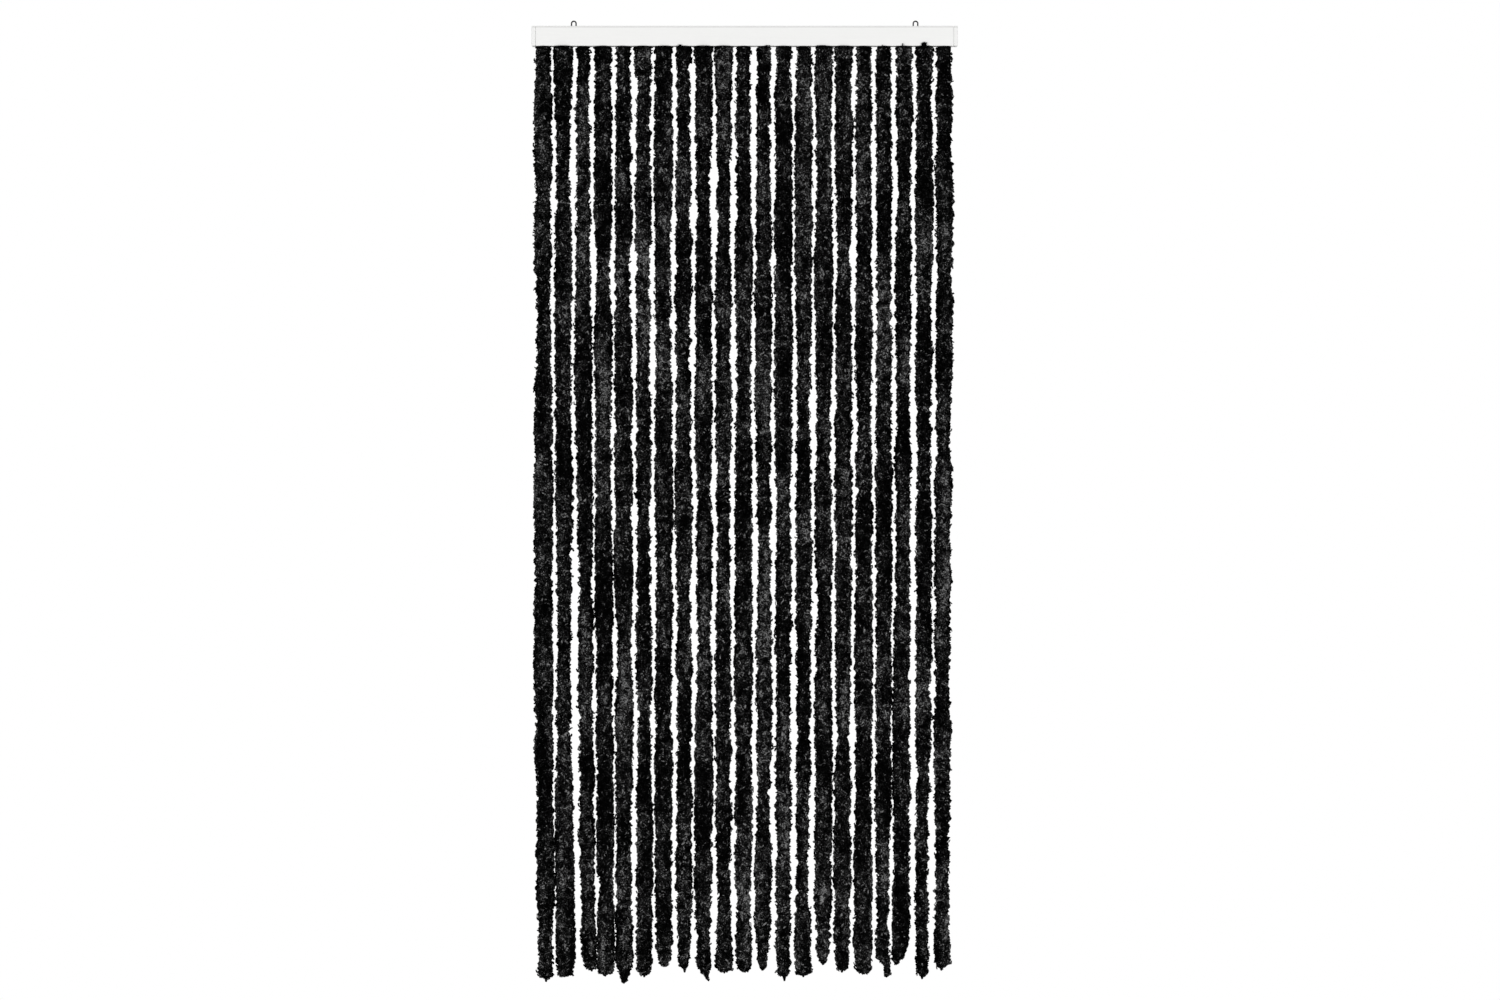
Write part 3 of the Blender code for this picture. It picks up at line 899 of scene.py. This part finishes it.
def surface_wander_group():
    """Slow and fine unevenness of a made surface: a value about 0.5, and a height for a bump."""
    tree = bpy.data.node_groups.new("surface_wander", "ShaderNodeTree")
    socket(tree, "Vector", "INPUT", "NodeSocketVector")
    socket(tree, "Slow Scale", "INPUT", "NodeSocketFloat", 20.0)
    socket(tree, "Fine Scale", "INPUT", "NodeSocketFloat", 600.0)
    socket(tree, "Value", "OUTPUT", "NodeSocketFloat")
    socket(tree, "Height", "OUTPUT", "NodeSocketFloat")
    enter = tree.nodes.new("NodeGroupInput")
    leave = tree.nodes.new("NodeGroupOutput")
    slow = add_node(
        tree,
        "ShaderNodeTexNoise",
        {"Vector": enter.outputs["Vector"], "Scale": enter.outputs["Slow Scale"], "Detail": 3.0},
    )
    fine = add_node(
        tree,
        "ShaderNodeTexNoise",
        {"Vector": enter.outputs["Vector"], "Scale": enter.outputs["Fine Scale"], "Detail": 2.0},
    )
    both = maths(tree, "ADD", slow.outputs[0], maths(tree, "MULTIPLY", fine.outputs[0], 0.35))
    tree.links.new(slow.outputs[0], leave.inputs["Value"])
    tree.links.new(both, leave.inputs["Height"])
    return tree


def painted_shade_line_group():
    """Painted shade: the faint grey line under the rail's rolled upper edges, where less light
    falls. A mask that fades in and out over a millimetre at the line's lower and upper side."""
    tree = bpy.data.node_groups.new("edge_line", "ShaderNodeTree")
    socket(tree, "Vector", "INPUT", "NodeSocketVector")
    socket(tree, "Low", "INPUT", "NodeSocketFloat", 4.2 * MM)
    socket(tree, "High", "INPUT", "NodeSocketFloat", 1.8 * MM)
    socket(tree, "Mask", "OUTPUT", "NodeSocketFloat")
    enter = tree.nodes.new("NodeGroupInput")
    leave = tree.nodes.new("NodeGroupOutput")
    height = add_node(tree, "ShaderNodeSeparateXYZ", {0: enter.outputs["Vector"]}).outputs["Z"]
    below = maths(tree, "SUBTRACT", RAIL_HIGH.z, height)
    fade_in = maths(tree, "SUBTRACT", enter.outputs["Low"], below)
    fade_out = maths(tree, "SUBTRACT", below, enter.outputs["High"])
    fade_in = maths(tree, "MULTIPLY_ADD", fade_in, 1 / MM, 0.5, clamp=True)
    fade_out = maths(tree, "MULTIPLY_ADD", fade_out, 1 / MM, 0.5, clamp=True)
    mask = maths(tree, "MULTIPLY", fade_in, fade_out)
    tree.links.new(mask, leave.inputs["Mask"])
    return tree


def hard_finish(
    name, colour, group, stretch, scales, roughness, bump, metallic=0.0, gloss=0.5, edge=0.0
):
    """A paint, plastic or metal: its colour and roughness wander a little, over a fine bump.
    stretch scales the pattern along X, Y and Z, roughness is its lowest and highest value, and edge
    is how much darker the painted shade line under the rail's upper edges is."""
    material, tree, shader = new_material(name)
    coordinates = add_node(tree, "ShaderNodeTexCoord")
    values = {"Vector": coordinates.outputs["Object"], "Scale": stretch}
    mapping = add_node(tree, "ShaderNodeMapping", values)
    wander = add_node(tree, "ShaderNodeGroup", node_tree=group)
    tree.links.new(mapping.outputs[0], wander.inputs["Vector"])
    wander.inputs["Slow Scale"].default_value = scales[0]
    wander.inputs["Fine Scale"].default_value = scales[1]
    value = wander.outputs["Value"]
    values = {"Value": value, "From Min": 0.3, "From Max": 0.7}
    values["To Min"], values["To Max"] = roughness
    rough = add_node(tree, "ShaderNodeMapRange", values)
    darker = tuple(0.96 * part for part in colour)
    tint = add_node(
        tree,
        "ShaderNodeMix",
        {"Factor": value, 6: (*darker, 1.0), 7: (*colour, 1.0)},
        data_type="RGBA",
    )
    height = add_node(
        tree,
        "ShaderNodeBump",
        {"Strength": bump[0], "Distance": bump[1], "Height": wander.outputs["Height"]},
    )
    finished = tint.outputs[2]
    # Painted shade: the colour is darkened in a thin line under the rail's upper edges
    if edge:
        line = add_node(tree, "ShaderNodeGroup", node_tree=made_once("edge_line", painted_shade_line_group))
        tree.links.new(coordinates.outputs["Object"], line.inputs["Vector"])
        strength = maths(tree, "MULTIPLY", line.outputs["Mask"], edge)
        shaded = add_node(
            tree,
            "ShaderNodeMix",
            {"Factor": strength, 6: finished, 7: (0.0, 0.0, 0.0, 1.0)},
            data_type="RGBA",
        )
        finished = shaded.outputs[2]
    tree.links.new(finished, shader.inputs["Base Color"])
    tree.links.new(rough.outputs[0], shader.inputs["Roughness"])
    tree.links.new(height.outputs[0], shader.inputs["Normal"])
    shader.inputs["Metallic"].default_value = metallic
    shader.inputs["Specular IOR Level"].default_value = gloss
    return material


def pile_finish(colours):
    """Black chenille. Its lightness is exp(x), where x adds up the lock's own tone, the mottling of
    a finger's breadth, thin curl lines that are painted highlights, and the fibres."""
    material, tree, shader = new_material("black_chenille_pile")
    coordinates = add_node(tree, "ShaderNodeTexCoord").outputs["Object"]
    tone = add_node(tree, "ShaderNodeAttribute", attribute_name="lock_tone").outputs["Fac"]
    mottling = noise(tree, coordinates, 70.0, 1.0)
    curls = noise(tree, coordinates, 150.0, 1.0, distortion=0.8)
    fibres = noise(tree, coordinates, 330.0, 1.0, roughness=0.6)
    # Painted highlights: thin bright lines where the curls noise passes its middle; they also feed
    # the bump
    off_line = maths(tree, "ABSOLUTE", maths(tree, "SUBTRACT", curls, 0.5))
    lines = maths(tree, "SUBTRACT", 1.0, maths(tree, "MULTIPLY", off_line, 14.0), clamp=True)
    tone_weight, mottling_weight, fibre_weight, painted_highlight_weight = 6.5, 5.0, 13.0, 1.0
    level = -0.5 * (tone_weight + mottling_weight + fibre_weight)
    x = maths(tree, "MULTIPLY_ADD", tone, tone_weight, level)
    x = maths(tree, "MULTIPLY_ADD", mottling, mottling_weight, x)
    x = maths(tree, "MULTIPLY_ADD", fibres, fibre_weight, x)
    x = maths(tree, "MULTIPLY_ADD", lines, painted_highlight_weight, x)
    share = maths(tree, "MULTIPLY", maths(tree, "EXPONENT", x), 0.026, clamp=True)
    colour = add_node(
        tree,
        "ShaderNodeMix",
        {"Factor": share, 6: (*colours.pile_black, 1.0), 7: (*colours.pile_grey, 1.0)},
        data_type="RGBA",
    )
    tree.links.new(colour.outputs[2], shader.inputs["Base Color"])
    rough = add_node(
        tree,
        "ShaderNodeMapRange",
        {"Value": fibres, "From Min": 0.3, "From Max": 0.7, "To Min": 0.7, "To Max": 0.95},
    )
    tree.links.new(rough.outputs[0], shader.inputs["Roughness"])
    height = maths(tree, "ADD", maths(tree, "MULTIPLY", lines, 0.6), fibres)
    bump = add_node(
        tree,
        "ShaderNodeBump",
        {"Strength": 0.6, "Distance": 0.0012, "Height": height},
    )
    tree.links.new(bump.outputs[0], shader.inputs["Normal"])
    shader.inputs["Specular IOR Level"].default_value = 0.004
    return material


def finish_nodes(names, material):
    for name in names:
        obj = frame["nodes"][name]
        for material_slot in obj.material_slots:
            material_slot.material = material


def made_once(name, maker):
    return bpy.data.node_groups.get(name) or maker()


def wander_group():
    return made_once("surface_wander", surface_wander_group)


# Operators


class CURTAIN_OT_rail(bpy.types.Operator):
    """Paint the head rail satin white, with faint lines along the extrusion"""

    bl_idname = "curtain.rail"
    bl_label = "Head Rail"

    def execute(self, context):
        colours = context.scene.curtain_colours
        paint = hard_finish(
            "satin_white_paint",
            colours.paint,
            wander_group(),
            (0.04, 1.0, 1.0),
            (260.0, 900.0),
            (0.46, 0.58),
            (0.12, 0.0004),
            gloss=0.3,
            # painted shade: a darker line under the rolled upper edge
            edge=0.12,
        )
        finish_nodes(["head_rail"], paint)
        return {"FINISHED"}


class CURTAIN_OT_caps(bpy.types.Operator):
    """Give the end caps their white moulded plastic"""

    bl_idname = "curtain.caps"
    bl_label = "End Caps"

    def execute(self, context):
        colours = context.scene.curtain_colours
        plastic = hard_finish(
            "moulded_white_plastic",
            colours.plastic,
            wander_group(),
            (1.0, 1.0, 1.0),
            (90.0, 1400.0),
            (0.5, 0.62),
            (0.18, 0.0003),
            gloss=0.3,
            # painted shade: a darker line under the upper edge, level with the rail's
            edge=0.12,
        )
        finish_nodes(["end_cap_left", "end_cap_right"], plastic)
        return {"FINISHED"}


class CURTAIN_OT_eyes(bpy.types.Operator):
    """Give the wire eyes their dull dark zinc"""

    bl_idname = "curtain.eyes"
    bl_label = "Hanging Eyes"

    def execute(self, context):
        colours = context.scene.curtain_colours
        zinc = hard_finish(
            "dull_dark_zinc",
            colours.wire,
            wander_group(),
            (1.0, 1.0, 0.3),
            (500.0, 3000.0),
            (0.32, 0.6),
            (0.25, 0.0002),
            metallic=0.9,
        )
        finish_nodes(["hanging_eye_left", "hanging_eye_right"], zinc)
        return {"FINISHED"}


class CURTAIN_OT_hangers(bpy.types.Operator):
    """Give the hangers their natural nylon"""

    bl_idname = "curtain.hangers"
    bl_label = "Hangers"

    def execute(self, context):
        colours = context.scene.curtain_colours
        nylon = hard_finish(
            "natural_nylon",
            colours.nylon,
            wander_group(),
            (1.0, 1.0, 1.0),
            (160.0, 1800.0),
            (0.38, 0.5),
            (0.15, 0.0002),
        )
        finish_nodes(HANGER_NODES, nylon)
        return {"FINISHED"}


class CURTAIN_OT_strands(bpy.types.Operator):
    """Grow the chenille pile of every strand"""

    bl_idname = "curtain.strands"
    bl_label = "Strands"

    def execute(self, context):
        if len(STRAND_NODES) != len(WIDTH_SHARES):
            raise RuntimeError("the tables of strands don't match the frame's strands")
        sizes = context.scene.curtain_pile
        material = pile_finish(context.scene.curtain_colours)
        draws = [np.random.default_rng(sizes.seed + number) for number in range(len(STRAND_NODES))]
        forms = [StrandForm(number, sizes, rng) for number, rng in enumerate(draws)]
        for left, right in zip(forms, forms[1:]):
            left.beside[1], right.beside[-1] = right, left
        for number, (form, rng) in enumerate(zip(forms, draws)):
            build_strand(number, form, rng, sizes, material)
        return {"FINISHED"}


def soft_lamp(name, place, target, size, power):
    data = bpy.data.lights.new(name, "AREA")
    data.shape = "RECTANGLE"
    data.size, data.size_y = size
    data.energy = power
    lamp = bpy.data.objects.new(name, data)
    bpy.context.scene.collection.objects.link(lamp)
    lamp.location = place
    way = np.array(target) - np.array(place)
    yaw = math.atan2(-way[0], way[1])
    pitch = math.atan2(way[2], math.hypot(way[0], way[1]))
    lamp.rotation_euler = (math.pi / 2 + pitch, 0, yaw)
    return lamp


def seen_ray(tree):
    """1 for the rays of the camera, a gloss or a glass, and 0 for the light on the object."""
    path = add_node(tree, "ShaderNodeLightPath")
    seen = maths(tree, "MAXIMUM", path.outputs["Is Camera Ray"], path.outputs["Is Transmission Ray"])
    return maths(tree, "MAXIMUM", seen, path.outputs["Is Glossy Ray"])


def white_world(ambient):
    """White where the camera, a gloss or a glass sees it, and an even soft light elsewhere."""
    world = bpy.data.worlds.new("white_room")
    bpy.context.scene.world = world
    world.use_nodes = True
    tree = world.node_tree
    back = tree.nodes["Background"]
    mixed = {"Factor": seen_ray(tree), 2: ambient, 3: 1.0}
    strength = add_node(tree, "ShaderNodeMix", mixed, data_type="FLOAT")
    back.inputs["Color"].default_value = (1, 1, 1, 1)
    tree.links.new(strength.outputs[0], back.inputs["Strength"])


def floor_finish(radius):
    """Pale and matt. Where it is seen, it is lightened towards the white of the background, in
    its middle by a part, so that shadows stay, and fully at its edge."""
    material, tree, shader = new_material("pale_floor")
    shader.inputs["Base Color"].default_value = (0.93, 0.93, 0.93, 1)
    shader.inputs["Roughness"].default_value = 0.9
    shader.inputs["Specular IOR Level"].default_value = 0.1
    coordinates = add_node(tree, "ShaderNodeTexCoord")
    level = add_node(
        tree,
        "ShaderNodeVectorMath",
        {0: coordinates.outputs["Object"], 1: (1.0, 1.0, 0.0)},
        operation="MULTIPLY",
    )
    distance = add_node(
        tree, "ShaderNodeVectorMath", {0: level.outputs[0]}, operation="LENGTH"
    )
    fade = add_node(
        tree,
        "ShaderNodeMapRange",
        {
            "Value": distance.outputs["Value"],
            "From Min": 0.5 * radius,
            "From Max": 0.97 * radius,
            "To Min": 0.6,
        },
        interpolation_type="SMOOTHSTEP",
    )
    glow = add_node(tree, "ShaderNodeEmission", {"Color": (1, 1, 1, 1), "Strength": 1.0})
    share = maths(tree, "MULTIPLY", fade.outputs[0], seen_ray(tree))
    mixed = add_node(tree, "ShaderNodeMixShader", {0: share})
    tree.links.new(shader.outputs[0], mixed.inputs[1])
    tree.links.new(glow.outputs[0], mixed.inputs[2])
    tree.links.new(mixed.outputs[0], tree.nodes["Material Output"].inputs["Surface"])
    return material


def round_floor(radius, height):
    """A flat disc: rings of points on circles round its middle."""
    sides, rings = 64, 8
    angles = np.arange(sides) * TURN / sides
    reach = np.linspace(0, radius, rings + 1)[1:]
    points = np.stack(
        [
            np.outer(reach, np.cos(angles)),
            np.outer(reach, np.sin(angles)),
            np.full((rings, sides), height),
        ],
        axis=-1,
    ).reshape(-1, 3)
    points = np.concatenate([[[0, 0, height]], points])
    row, side = np.meshgrid(np.arange(rings - 1), np.arange(sides), indexing="ij")
    row, side = row.ravel(), side.ravel()
    onward = (side + 1) % sides
    a, b = 1 + row * sides + side, 1 + (row + 1) * sides + side
    c, d = 1 + (row + 1) * sides + onward, 1 + row * sides + onward
    first = np.arange(sides)
    middle = np.stack([0 * first, 1 + first, 1 + (first + 1) % sides], 1)
    faces = np.concatenate([middle, np.stack([a, b, c], 1), np.stack([a, c, d], 1)])
    floor = mesh_object("floor", points, faces, floor_finish(radius))
    return floor


class CURTAIN_OT_stage(bpy.types.Operator):
    """Set up the camera, the soft lamps, the white room and the pale floor"""

    bl_idname = "curtain.stage"
    bl_label = "Stage"

    def execute(self, context):
        stage = context.scene.curtain_stage
        middle = np.array(stage.view_middle)
        data = bpy.data.cameras.new("front_camera")
        data.sensor_width = 36.0
        data.lens = data.sensor_width * stage.camera_distance / stage.view_width
        camera = bpy.data.objects.new("front_camera", data)
        context.scene.collection.objects.link(camera)
        camera.location = middle - [0, stage.camera_distance, 0]
        camera.rotation_euler = (math.pi / 2, 0, 0)
        context.scene.camera = camera
        for name, side in (("front_lamp_left", -1), ("front_lamp_right", 1)):
            place = (side * LAMP_ASIDE, -LAMP_FORWARD, middle[2] - LAMP_DROP)
            soft_lamp(name, place, (0, 0, middle[2]), LAMP_SIZE, stage.front_power)
        white_world(stage.ambient)
        tip = min(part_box(name)[0].z for name in STRAND_NODES)
        round_floor(stage.floor_radius, tip - stage.floor_drop)
        context.scene.view_settings.view_transform = "Standard"
        return {"FINISHED"}


class CURTAIN_PT_panel(bpy.types.Panel):
    """The curtain's pieces, sizes and colours"""

    bl_idname = "CURTAIN_PT_panel"
    bl_label = "Fly Curtain"
    bl_space_type = "VIEW_3D"
    bl_region_type = "UI"
    bl_category = "Curtain"

    def draw(self, context):
        layout = self.layout
        for operator in OPERATORS:
            layout.operator(operator.bl_idname)
        for group in GROUPS:
            box = layout.box()
            settings = getattr(context.scene, group)
            for key in GROUPS[group].__annotations__:
                box.prop(settings, key)


GROUPS = {
    "curtain_pile": CurtainPile,
    "curtain_colours": CurtainColours,
    "curtain_stage": CurtainStage,
}
OPERATORS = (
    CURTAIN_OT_stage,
    CURTAIN_OT_rail,
    CURTAIN_OT_caps,
    CURTAIN_OT_eyes,
    CURTAIN_OT_hangers,
    CURTAIN_OT_strands,
)


def register():
    for group in GROUPS.values():
        bpy.utils.register_class(group)
    for name, group in GROUPS.items():
        setattr(bpy.types.Scene, name, bpy.props.PointerProperty(type=group))
    for operator in OPERATORS:
        bpy.utils.register_class(operator)
    bpy.utils.register_class(CURTAIN_PT_panel)


def unregister():
    bpy.utils.unregister_class(CURTAIN_PT_panel)
    for operator in reversed(OPERATORS):
        bpy.utils.unregister_class(operator)
    for name, group in GROUPS.items():
        delattr(bpy.types.Scene, name)
        bpy.utils.unregister_class(group)


def main():
    register()
    bpy.ops.curtain.stage()
    bpy.ops.curtain.rail()
    bpy.ops.curtain.caps()
    bpy.ops.curtain.eyes()
    bpy.ops.curtain.hangers()
    bpy.ops.curtain.strands()


if __name__ == "__main__":
    main()
